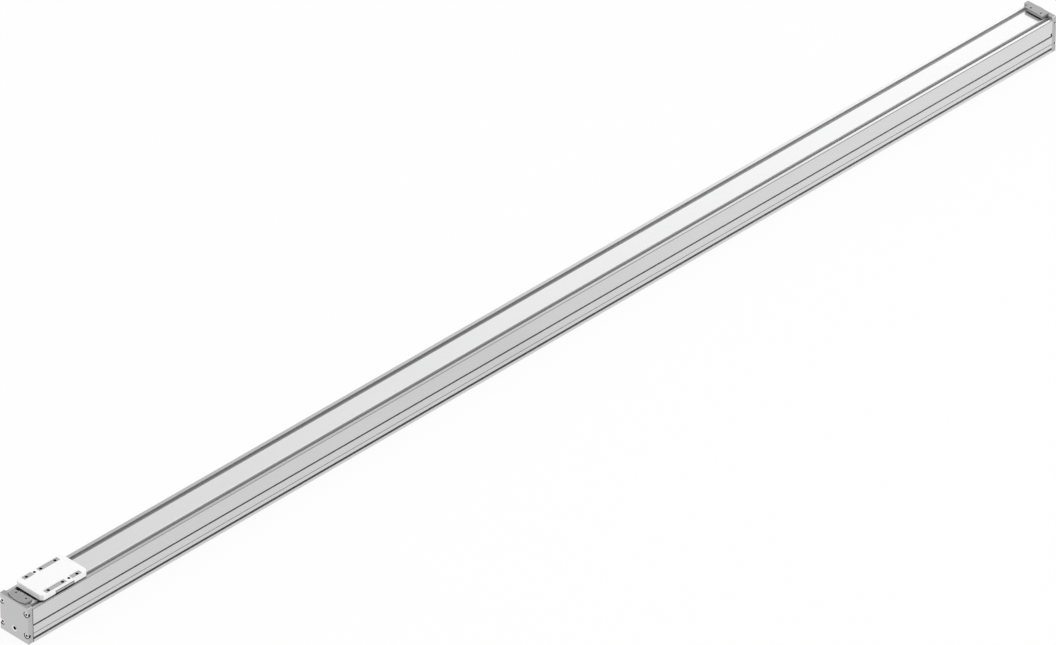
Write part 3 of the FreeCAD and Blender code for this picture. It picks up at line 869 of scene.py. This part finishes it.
@dataclass(frozen=True, kw_only=True)
class CoatedSteel(Finish):
    """Steel under a thin coat, plated or black, with fine crystals and dull patches in it."""

    patch_tone: Colour
    spread: float
    grain: Grain = Grain.even(5200, 3)
    patch: Grain = Grain.even(500, seed=(4, 2, 8))
    patch_edge: Span = (0.52, 0.72)
    patch_share: float = 0.5
    grain_roughness: float = 0.10
    patch_roughness: float = 0.12
    relief: float = 0.006 * MM

    def colour(self, graph: Graph, place: Socket, grain: Socket, dull: Socket) -> Socket:
        """Colour of the coat.

        Args:
            graph: graph to add to.
            place: place on the piece, not used here.
            grain: the crystals.
            dull: mask of the patches.

        Returns:
            The colour.
        """
        coat = graph.varied(grain, self.tone, self.spread)
        return graph.mix(dull * self.patch_share, coat, self.patch_tone)

    def shader(self, graph: Graph) -> Socket:
        """Write the finish into a graph.

        Args:
            graph: empty graph.

        Returns:
            The surface shader.
        """
        place = graph.place()
        grain = graph.noise(place, self.grain)
        dull = graph.ramp(graph.noise(place, self.patch), *self.patch_edge)
        roughness = self.roughness + self.grain_roughness * grain + self.patch_roughness * dull
        return graph.principled({
            "Base Color": self.colour(graph, place, grain, dull),
            "Metallic": 1.0,
            "Roughness": roughness,
            "Normal": graph.bump(grain, self.relief),
        })


@dataclass(frozen=True, kw_only=True)
class ScrewSteel(CoatedSteel):
    """Coated screws whose heads are dark in their sockets and on their flanks, as painted shade."""

    flank_shade_tone: Colour
    socket_shade_tone: Colour
    socket_places: tuple[Span, ...]
    socket_radius: float
    socket_x: float
    head_height: float
    flank: Span = (0.6, 0.3)

    def colour(self, graph: Graph, place: Socket, grain: Socket, dull: Socket) -> Socket:
        """Colour of the coat, with painted shade on the flanks of the heads and in the sockets.

        Args:
            graph: graph to add to.
            place: place on the piece.
            grain: the crystals.
            dull: mask of the patches.

        Returns:
            The colour.
        """
        x, y, z = graph.axes(place)
        out = abs(x)
        along, _, _ = graph.facing()
        # Painted shade: the flanks of the heads and the sockets are dark.
        shaded_flank = graph.ramp(along, *self.flank) & (out > self.socket_x - self.head_height)
        socket = graph.bores(abs(y), z, self.socket_places, self.socket_radius)
        socket = socket & (out < self.socket_x)
        plain = super().colour(graph, place, grain, dull)
        return graph.mix(socket, graph.mix(shaded_flank, plain, self.flank_shade_tone), self.socket_shade_tone)


@dataclass(frozen=True, kw_only=True)
class Moulding(Finish):
    """Moulded rubber or plastic with a fine eroded grain."""

    grain: Grain
    grain_depth: float
    bloom: Grain = Grain.even(140, seed=(6, 3, 9))
    bloom_share: float = 0.5
    spread: float = 0.3
    grain_roughness: float = 0.15
    gloss: float = 0.35

    def shader(self, graph: Graph) -> Socket:
        """Write the finish into a graph.

        Args:
            graph: empty graph.

        Returns:
            The surface shader.
        """
        place = graph.place()
        grain = graph.noise(place, self.grain)
        vary = blend(grain, graph.noise(place, self.bloom), self.bloom_share)
        return graph.principled({
            "Base Color": graph.varied(vary, self.tone, self.spread),
            "Metallic": 0.0,
            "Roughness": self.roughness + self.grain_roughness * grain,
            "Specular IOR Level": self.gloss,
            "Normal": graph.bump(grain, self.grain_depth),
        })


@dataclass
class Dresser:
    """Puts the finishes on the nodes and on the new pieces, making each material once."""

    finishes: Mapping[str, Finish]

    def __post_init__(self) -> None:
        """Make every material."""
        self.materials = {slot: finish.material() for slot, finish in self.finishes.items()}

    def dress(self, piece: bpy.types.Object, slot: str) -> None:
        """Give a piece its finish.

        Args:
            piece: a CAD node's object or a new piece.
            slot: name of the finish.
        """
        if not piece.material_slots:
            piece.data.materials.append(None)
        for material_slot in piece.material_slots:
            material_slot.link = "OBJECT"
            material_slot.material = self.materials[slot]
        LOG.info("%s: %s", piece.name, slot)

    def dress_nodes(self, names: Sequence[str]) -> None:
        """Give CAD nodes the finish of their slot in the record.

        Args:
            names: node names.
        """
        slots = {part["node"]: part["material_slot"] for part in frame["record"]["subparts"]}
        for name in names:
            self.dress(frame["nodes"][name], slots[name])


def ridden_piece(name: str, mesh: bmesh.types.BMesh, body: Body) -> bpy.types.Object:
    """Make an object of a mesh and hang it on a body.

    Args:
        name: its name.
        mesh: its shape in the frame of the model, used up.
        body: the body that it rides on.

    Returns:
        The new piece.
    """
    bmesh.ops.recalc_face_normals(mesh, faces=mesh.faces)
    data = bpy.data.meshes.new(name)
    mesh.to_mesh(data)
    mesh.free()
    piece = bpy.data.objects.new(name, data)
    bpy.context.scene.collection.objects.link(piece)
    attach(piece, body.value)
    return piece


@dataclass
class CutThread:
    """An internal thread as a thin sleeve in its bore, closed at the bottom of a blind hole."""

    name: str
    body: Body
    mouth: Point
    inward: Point
    radius: float
    depth: float
    pitch: float
    blind: bool
    segments: int = 28
    rows_per_turn: int = 4
    ridge: float = 0.36 * MM
    wall: float = 0.02 * MM
    floor: float = 0.05 * MM

    def frame_axes(self) -> tuple[Vector, Vector, Vector]:
        """Directions that the thread is drawn in.

        Returns:
            Two across the bore and the one into it.
        """
        inward = Vector(self.inward)
        across = inward.orthogonal().normalized()
        return across, inward.cross(across), inward

    def ring(
        self, mesh: bmesh.types.BMesh, depth: float, threaded: bool
    ) -> list[bmesh.types.BMVert]:
        """Add one ring of points.

        Args:
            mesh: mesh to add to.
            depth: distance below the mouth.
            threaded: True for the threaded inside, False for the plain outside.

        Returns:
            Its points in order.
        """
        across, beside, inward = self.frame_axes()
        points = []
        for index in range(self.segments):
            turn = index / self.segments
            radius = self.radius
            if threaded:
                phase = (depth / self.pitch + turn) % 1.0
                lead_in = min(1.0, depth / self.pitch)
                radius -= self.wall + self.ridge * lead_in * (1.0 - abs(2.0 * phase - 1.0))
            angle = 2.0 * math.pi * turn
            offset = across * math.cos(angle) + beside * math.sin(angle)
            points.append(mesh.verts.new(Vector(self.mouth) + inward * depth + offset * radius))
        return points

    def build(self) -> bpy.types.Object:
        """Make the sleeve and hang it on its body.

        Returns:
            The new piece.
        """
        mesh = bmesh.new()
        count = max(2, round(self.depth / self.pitch * self.rows_per_turn))
        inside = [self.ring(mesh, self.depth * row / count, True) for row in range(count + 1)]
        outside = [self.ring(mesh, self.depth + self.floor, False), self.ring(mesh, 0.0, False)]
        rings = inside + outside + inside[:1]
        if self.blind:
            mesh.faces.new(inside[-1])
            mesh.faces.new(outside[0])
        for number, (first, second) in enumerate(zip(rings, rings[1:])):
            if self.blind and number == count:
                continue
            for index in range(self.segments):
                after = (index + 1) % self.segments
                mesh.faces.new((first[index], first[after], second[after], second[index]))
        return ridden_piece(self.name, mesh, self.body)


@dataclass
class NotchCover:
    """A flush cover in the notch at the foot of one side of the slide, with a gap round it."""

    name: str
    side: int
    middle_x: float
    face_y: float
    under_z: float = 61.2 * MM
    length: float = 34.6 * MM
    height: float = 3.4 * MM
    thickness: float = 0.95 * MM
    edge: float = 0.12 * MM

    def build(self) -> bpy.types.Object:
        """Make the cover and hang it on the carriage.

        Returns:
            The new piece.
        """
        mesh = bmesh.new()
        bmesh.ops.create_cube(mesh, size=1.0)
        bmesh.ops.scale(mesh, vec=(self.length, self.thickness, self.height), verts=mesh.verts)
        y = self.side * (self.face_y - self.thickness / 2)
        centre = (self.middle_x, y, self.under_z + self.height / 2)
        bmesh.ops.translate(mesh, vec=centre, verts=mesh.verts)
        bmesh.ops.bevel(mesh, geom=mesh.edges, offset=self.edge, segments=1, affect="EDGES")
        return ridden_piece(self.name, mesh, Body.CARRIAGE)


@dataclass
class ProfileBody:
    """The extruded profile with its rail and cover strip."""

    nodes: tuple[str, ...] = ("profile", "guide_rail", "rail_screws", "cover_strip")

    def build(self, dresser: Dresser) -> None:
        """Dress the nodes.

        Args:
            dresser: finishes.
        """
        dresser.dress_nodes(self.nodes)


@dataclass
class CapAssembly:
    """An end cap with its gasket, screws, strip clamp and buffers, and the thread of its port."""

    end: End
    port_z: float = 14.2 * MM
    port_radius: float = 3.1 * MM
    port_face_depth: float = 0.6 * MM
    port_thread_depth: float = 8.1 * MM
    port_pitch: float = 1.0 * MM
    screw_places: tuple[Span, ...] = ((25.0 * MM, 13.4 * MM), (25.0 * MM, 50.7 * MM))
    head_sunk: float = 0.85 * MM
    kinds: tuple[str, ...] = (
        "end_cap", "cap_gasket", "cap_screws", "strip_clamp", "clamp_screws", "end_buffers")

    def port_thread(self) -> CutThread:
        """Lay out the thread of the air port.

        Returns:
            The thread.
        """
        low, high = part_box("end_cap_" + self.end.word)
        face_x = high[0] if self.end is End.FAR else low[0]
        mouth = (face_x - self.end.side * self.port_face_depth, 0.0, self.port_z)
        return CutThread("port_thread_" + self.end.word, Body.AXIS, mouth, (-self.end.side, 0, 0),
                         self.port_radius, self.port_thread_depth, self.port_pitch, blind=False)

    def build(self, dresser: Dresser) -> None:
        """Add the thread and dress everything.

        Args:
            dresser: finishes.
        """
        thread = self.port_thread().build()
        # The sleeve is dressed dark as painted shade in the bore of the port.
        dresser.dress(thread, "dark_steel")
        dresser.dress_nodes([kind + "_" + self.end.word for kind in self.kinds])


@dataclass
class Carriage:
    """The slide with its wipers, and the saddle and bearing block that carry it."""

    hole_pitch: float = 28.3 * MM
    row_y: float = 22.75 * MM
    pad_depth: float = 0.3 * MM
    thread_radius: float = 2.5 * MM
    thread_depth: float = 7.1 * MM
    thread_pitch: float = 0.8 * MM
    cover_sunk: float = 0.03 * MM
    nodes: tuple[str, ...] = (
        "slide", "wiper_near", "wiper_far", "saddle", "saddle_screws_left", "saddle_screws_right",
        "block_screws", "bearing_block", "return_plate_near", "return_plate_far",
        "return_plate_screws", "end_seal_near", "end_seal_far")

    def threads(self) -> list[CutThread]:
        """Lay out the threads of the six fixing holes.

        Returns:
            The threads, the left row first.
        """
        low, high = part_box("slide")
        middle = (low[0] + high[0]) / 2
        mouth_z = high[2] - self.pad_depth
        threads = []
        for row, word in ((1, "left"), (-1, "right")):
            for step in (-1, 0, 1):
                mouth = (middle + step * self.hole_pitch, row * self.row_y, mouth_z)
                name = f"slide_thread_{word}_{step + 2}"
                threads.append(CutThread(name, Body.CARRIAGE, mouth, (0, 0, -1), self.thread_radius,
                                         self.thread_depth, self.thread_pitch, blind=True))
        return threads

    def covers(self) -> list[NotchCover]:
        """Lay out the covers at the foot of the slide's two sides.

        Returns:
            The left and the right cover.
        """
        low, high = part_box("slide")
        middle = (low[0] + high[0]) / 2
        return [NotchCover("notch_cover_" + word, side, middle, high[1] - self.cover_sunk)
                for side, word in ((1, "left"), (-1, "right"))]

    def build(self, dresser: Dresser) -> None:
        """Add the threads and the covers and dress everything.

        Args:
            dresser: finishes.
        """
        for thread in self.threads():
            piece = thread.build()
            # Each sleeve is dressed dark as painted shade in its bore.
            dresser.dress(piece, "dark_steel")
        for cover in self.covers():
            piece = cover.build()
            dresser.dress(piece, "cap_alloy")
        dresser.dress_nodes(self.nodes)


@dataclass
class Studio:
    """White room: a floor with a faint shadow, an even dome, a soft overhead lamp and two cards."""

    dome: float = 0.86
    floor_size: float = 80.0
    floor_tone: Colour = grey(0.90)
    floor_shadow: float = 0.10
    lamp_place: Point = (0.4, -0.6, 3.2)
    lamp_size: Span = (4.0, 2.4)
    lamp_power: float = 30.0
    card_y: float = 1.1
    card_x: Span = (-2.2, 4.2)
    card_z: Span = (0.62, 2.4)
    card_stops: tuple[Span, ...] = ((-0.2, 0.75), (0.9, 0.945), (2.1, 1.17))

    def seen(self, graph: Graph) -> Socket:
        """Mask of the rays that see the white of the room itself.

        Args:
            graph: graph to add to.

        Returns:
            1 for camera, glossy and transmission rays, 0 for the others.
        """
        camera = graph.add("ShaderNodeLightPath", output="Is Camera Ray")
        outputs = camera.link.node.outputs
        glossy = Socket(graph, outputs["Is Glossy Ray"])
        through = Socket(graph, outputs["Is Transmission Ray"])
        return camera | glossy | through

    def build_world(self) -> None:
        """Make the dome: white to look at, a little weaker as light."""
        world = bpy.data.worlds.new("white_room")
        world.use_nodes = True
        bpy.context.scene.world = world
        graph = Graph(world.node_tree)
        colour = graph.mix(self.seen(graph), grey(self.dome), grey(1.0))
        sky = graph.add("ShaderNodeBackground", None, {"Color": colour, "Strength": 1.0})
        graph.add("ShaderNodeOutputWorld", None, {"Surface": sky})

    def flat_panel(self, name: str, corners: Sequence[Point]) -> bpy.types.Object:
        """Add a stage panel.

        Args:
            name: its name.
            corners: its four corners in order.

        Returns:
            The panel.
        """
        data = bpy.data.meshes.new(name)
        data.from_pydata([tuple(corner) for corner in corners], [], [(0, 1, 2, 3)])
        panel = bpy.data.objects.new(name, data)
        bpy.context.scene.collection.objects.link(panel)
        return panel

    def build_floor(self) -> None:
        """Make the floor at the level of the underside of the axis."""
        half = self.floor_size / 2
        level = CAD_BOX[0][2]
        corners = ((-1, -1), (1, -1), (1, 1), (-1, 1))
        floor = self.flat_panel("floor", [(half * x, half * y, level) for x, y in corners])
        material = bpy.data.materials.new("pale_floor")
        material.use_nodes = True
        graph = Graph(material.node_tree)
        seen = self.seen(graph)
        paint = graph.add("ShaderNodeBsdfDiffuse", None, {"Color": self.floor_tone})
        white = graph.add("ShaderNodeEmission", None, {"Color": grey(1.0), "Strength": 1.0})
        share = seen * (1.0 - self.floor_shadow)
        surface = graph.add("ShaderNodeMixShader", None, {0: share, 1: paint, 2: white})
        graph.add("ShaderNodeOutputMaterial", None, {"Surface": surface})
        floor.data.materials.append(material)

    def build_card(self, name: str, y: float) -> None:
        """Make a shaded card beside the axis that only shows in its bright faces.

        Args:
            name: its name.
            y: its place across the axis.
        """
        (x0, x1), (z0, z1) = self.card_x, self.card_z
        card = self.flat_panel(name, [(x0, y, z0), (x1, y, z0), (x1, y, z1), (x0, y, z1)])
        card.visible_camera = False
        card.visible_diffuse = False
        card.visible_shadow = False
        card.visible_transmission = False
        material = bpy.data.materials.new("shaded_" + name)
        material.use_nodes = True
        graph = Graph(material.node_tree)
        x, _, _ = graph.axes(graph.place())
        start = self.card_stops[0][0]
        length = self.card_stops[-1][0] - start
        top = max(level for _, level in self.card_stops)
        stops = [((at - start) / length, grey(level / top)) for at, level in self.card_stops]
        level = graph.add("ShaderNodeValToRGB", {"stops": stops}, {0: (x - start) / length})
        glow = graph.add("ShaderNodeEmission", None, {"Color": level, "Strength": top})
        graph.add("ShaderNodeOutputMaterial", None, {"Surface": glow})
        card.data.materials.append(material)

    def build_lamp(self) -> None:
        """Hang the soft lamp over the axis."""
        data = bpy.data.lights.new("overhead", "AREA")
        data.shape = "RECTANGLE"
        data.size, data.size_y = self.lamp_size
        data.energy = self.lamp_power
        lamp = bpy.data.objects.new("overhead", data)
        lamp.location = self.lamp_place
        lamp.visible_camera = False
        lamp.visible_glossy = False
        bpy.context.scene.collection.objects.link(lamp)

    def build(self) -> None:
        """Build the whole room."""
        self.build_world()
        self.build_floor()
        self.build_card("card_left", self.card_y)
        self.build_card("card_right", -self.card_y)
        self.build_lamp()
        LOG.info("studio built")


@dataclass
class Viewpoint:
    """The photograph's long lens, equally inclined to the three axes."""

    aim: Point = (-0.0577, -0.02805, 0.0585)
    forward: Point = (1.0, 1.0, -1.0)
    distance: float = 22.362
    focal_pixels: float = 15219.0
    image_width: float = 1056.0
    sensor: float = 36.0
    clip: Span = (1.0, 200.0)

    def build(self) -> None:
        """Make the camera and put it in the scene."""
        data = bpy.data.cameras.new("viewpoint")
        data.sensor_fit = "HORIZONTAL"
        data.sensor_width = self.sensor
        data.lens = self.focal_pixels / self.image_width * self.sensor
        data.clip_start, data.clip_end = self.clip
        camera = bpy.data.objects.new("viewpoint", data)
        forward = Vector(self.forward).normalized()
        camera.location = Vector(self.aim) - forward * self.distance
        camera.rotation_mode = "QUATERNION"
        camera.rotation_quaternion = forward.to_track_quat("-Z", "Y")
        bpy.context.scene.collection.objects.link(camera)
        bpy.context.scene.camera = camera
        LOG.info("camera built")


def alloys() -> list[Finish]:
    """Set the finishes of the profile, the caps and the slide.

    Returns:
        The finishes.
    """
    slide_low, slide_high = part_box("slide")
    _, profile_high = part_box("profile")
    cap_low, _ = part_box("end_cap_near")
    cap, carriage = CapAssembly(End.NEAR), Carriage()
    return [
        DrawnAlloy(
            "profile_alloy", grey(0.66, 0.005), 0.34,
            far_lit_tone=grey(0.725, 0.005), lit_top_tone=grey(0.585, 0.005),
            far_lit_top_tone=grey(0.84, 0.005), top_roughness=0.20, groove_shade_tone=grey(0.40, 0.005),
            far_groove_shade_tone=grey(0.56, 0.005), line_shade_tone=grey(0.20), edge_lighting_tone=grey(0.25),
            half_width=profile_high[1], top=profile_high[2], chamfer=0.6 * MM,
            lip_inner=24.5 * MM, lip_chamfer=1.0 * MM, line_z=15.8 * MM, line_reach=0.7 * MM),
        BlastedAlloy(
            "cap_alloy", grey(0.50, 0.005), 0.42,
            lit_front_tone=grey(0.58, 0.005), shaded_inner_tone=grey(0.41), lit_top_tone=grey(0.43, 0.005),
            bore_shade_tone=grey(0.10), relief_shade_tone=grey(0.02), edge_lighting_tone=grey(0.74),
            ring_tone=grey(0.93), outer_x=-cap_low[0], bore_places=cap.screw_places,
            bore_radius=5.05 * MM, bore_depth=4.2 * MM, ring_z=cap.port_z,
            ring_radius=4.75 * MM, relief_top=60.15 * MM, edge_y=28.4 * MM, edge_z=62.4 * MM),
        SlideAlloy(
            "slide_alloy", grey(0.93), 0.40,
            pad_tone=grey(0.55, 0.005), hole_shade_tone=grey(0.05), lit_end_tone=grey(0.97),
            shaded_corner_tone=grey(0.80), lit_side_tone=grey(0.97), notch_shade_tone=grey(0.20),
            notch_half=18.6 * MM, notch_y=27.5 * MM, top=slide_high[2],
            pad_depth=carriage.pad_depth, row_y=carriage.row_y,
            middle_x=(slide_low[0] + slide_high[0]) / 2,
            pin_offset=12.5 * MM, pin_radius=2.45 * MM),
    ]


def steels() -> list[Finish]:
    """Set the finishes of the strip, the rail, the screws and the threads.

    Returns:
        The finishes.
    """
    _, strip_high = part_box("cover_strip")
    cap_low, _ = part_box("end_cap_near")
    cap = CapAssembly(End.NEAR)
    return [
        StripSteel("strip_steel", grey(0.84, 0.005), 0.13, hairline=0.03, fold_tone=grey(0.62),
                   top=strip_high[2], fold_depth=0.8 * MM),
        RolledSteel("rail_steel", grey(0.56, 0.01), 0.22, hairline=0.06),
        ScrewSteel(
            "screw_steel", grey(0.78, 0.005), 0.22,
            patch_tone=grey(0.60, -0.01), spread=0.07, flank_shade_tone=grey(0.03),
            socket_shade_tone=grey(0.06), socket_places=cap.screw_places, socket_radius=2.4 * MM,
            socket_x=-cap_low[0] - cap.head_sunk, head_height=3.4 * MM),
        CoatedSteel("dark_steel", grey(0.020, 0.001), 0.40, patch_tone=(0.03, 0.028, 0.026),
                    spread=0.2),
    ]


def mouldings() -> list[Finish]:
    """Set the finishes of the rubber and plastic pieces.

    Returns:
        The finishes.
    """
    return [
        Moulding("dark_rubber", grey(0.018, 0.001), 0.55,
                 grain=Grain.even(2600, 3), grain_depth=0.02 * MM),
        Moulding("gasket_rubber", grey(0.07), 0.60,
                 grain=Grain.even(3000, 3), grain_depth=0.015 * MM),
        Moulding("return_plastic", (0.05, 0.055, 0.06), 0.45,
                 grain=Grain.even(3400, 3), grain_depth=0.01 * MM),
    ]


def finishes() -> dict[str, Finish]:
    """Every finish of the axis by its slot."""
    return {finish.slot: finish for finish in alloys() + steels() + mouldings()}


def main() -> None:
    """Build the camera, the dressed axis and the studio."""
    logging.basicConfig(level=logging.INFO)
    bpy.context.scene.view_settings.view_transform = "Standard"
    Viewpoint().build()
    dresser = Dresser(finishes())
    for assembly in (ProfileBody(), CapAssembly(End.NEAR), CapAssembly(End.FAR), Carriage()):
        assembly.build(dresser)
    Studio().build()


if __name__ == "__main__":
    main()
